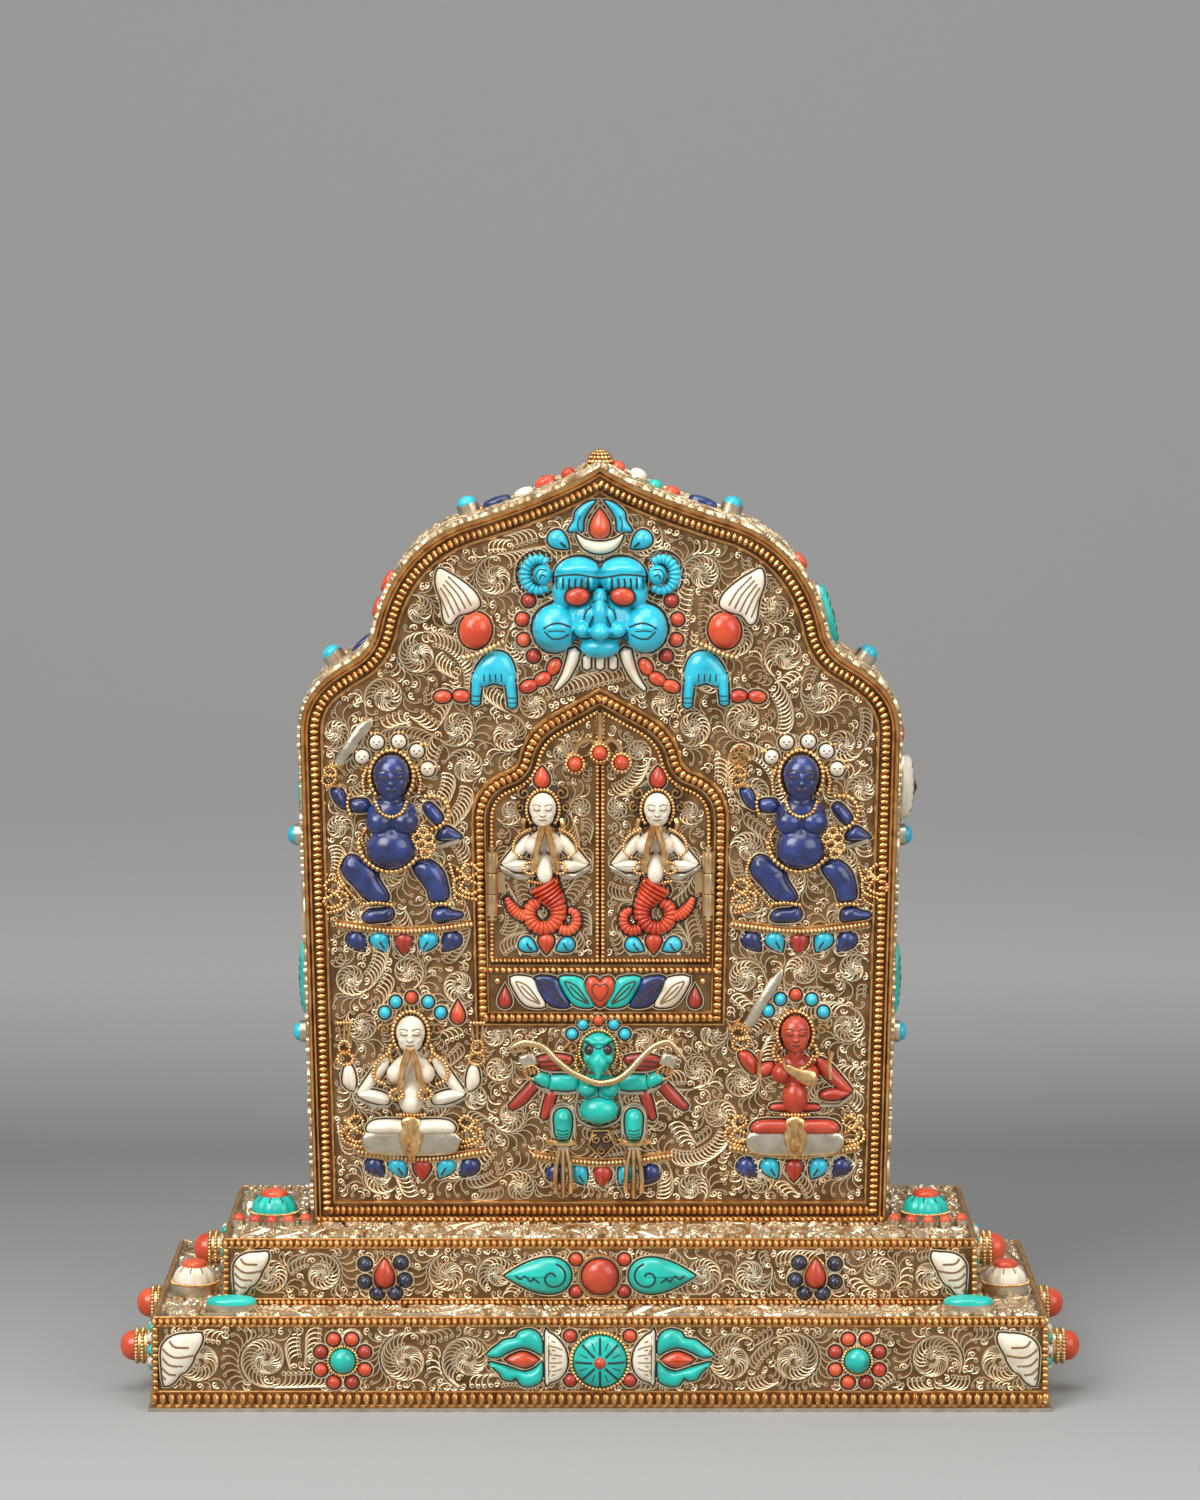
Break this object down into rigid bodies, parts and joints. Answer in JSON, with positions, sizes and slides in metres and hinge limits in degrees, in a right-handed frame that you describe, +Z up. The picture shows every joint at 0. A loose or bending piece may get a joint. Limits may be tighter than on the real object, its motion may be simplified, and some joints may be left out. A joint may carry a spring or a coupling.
{
  "type": "gau prayer box",
  "caption": "Upright prayer box: a stepped base carries an arched case with two hinged doors, faced with gold filigree and set stone figures.",
  "frame": {"origin": "middle of the underside of the base plate", "axes": "+X to the viewer's right across the front, -Y towards the viewer, +Z up"},
  "size_m": [0.235, 0.0914, 0.23],
  "materials": {
    "silver": "warm tarnished silver sheet",
    "gold": "antique gilt beads with dark patina in the grooves",
    "filigree": "pale gilt filigree wire on a darker gilt sheet",
    "turquoise": "polished turquoise cut in relief",
    "coral": "polished red coral",
    "lapis": "polished lapis with pale specks",
    "bone": "carved shell and bone with brown grooves",
    "green_turquoise": "polished green turquoise"
  },
  "bodies": {
    "case": {"base_plate": "silver", "back_panel": "silver", "left_hinge_frame_half": "silver", "left_hinge_pin": "silver", "right_hinge_frame_half": "silver", "right_hinge_pin": "silver", "lower_foot_bead": "gold", "lower_rim_bead": "gold", "upper_foot_bead": "gold", "upper_rim_bead": "gold", "front_border": "gold", "door_frame": "gold", "lower_front_wall": "filigree", "lower_back_wall": "filigree", "lower_left_wall": "filigree", "lower_right_wall": "filigree", "lower_top": "filigree", "upper_front_wall": "filigree", "upper_back_wall": "filigree", "upper_left_wall": "filigree", "upper_right_wall": "filigree", "upper_top": "filigree", "case_band": "filigree", "front_panel": "filigree", "mask": "turquoise", "left_arm": "turquoise", "right_arm": "turquoise", "door_lotus_row": "turquoise", "lower_wheel": "turquoise", "upper_medallion": "turquoise", "lower_left_flower": "turquoise", "lower_right_flower": "turquoise", "upper_left_dome": "turquoise", "upper_right_dome": "turquoise", "lower_left_oval": "turquoise", "lower_right_oval": "turquoise", "sword_figure": "coral", "mask_crown": "coral", "upper_left_flower": "coral", "upper_right_flower": "coral", "left_guardian": "lapis", "right_guardian": "lapis", "four_armed_figure": "bone", "lower_left_shell": "bone", "lower_right_shell": "bone", "upper_left_shell": "bone", "upper_right_shell": "bone", "lower_left_dome": "bone", "lower_right_dome": "bone", "bird_figure": "green_turquoise"},
    "left_leaf": {"left_door": "filigree", "left_door_border": "gold", "left_serpent": "coral", "left_hinge_door_half": "silver", "door_clasp": "coral"},
    "right_leaf": {"right_door": "filigree", "right_door_border": "gold", "right_serpent": "coral", "right_hinge_door_half": "silver"}
  },
  "joints": [
    {"name": "left_door_hinge", "type": "hinge", "parent": "case", "child": "left_leaf", "pos_m": [-0.02652, -0.0143, 0.12515], "axis": [0, 0, -1], "range_deg": [0, 100]},
    {"name": "right_door_hinge", "type": "hinge", "parent": "case", "child": "right_leaf", "pos_m": [0.02652, -0.0143, 0.12515], "axis": [0, 0, 1], "range_deg": [0, 100]}
  ],
  "couplings": [
    {"joint": "right_door_hinge", "follows": "left_door_hinge", "ratio": 1}
  ]
}
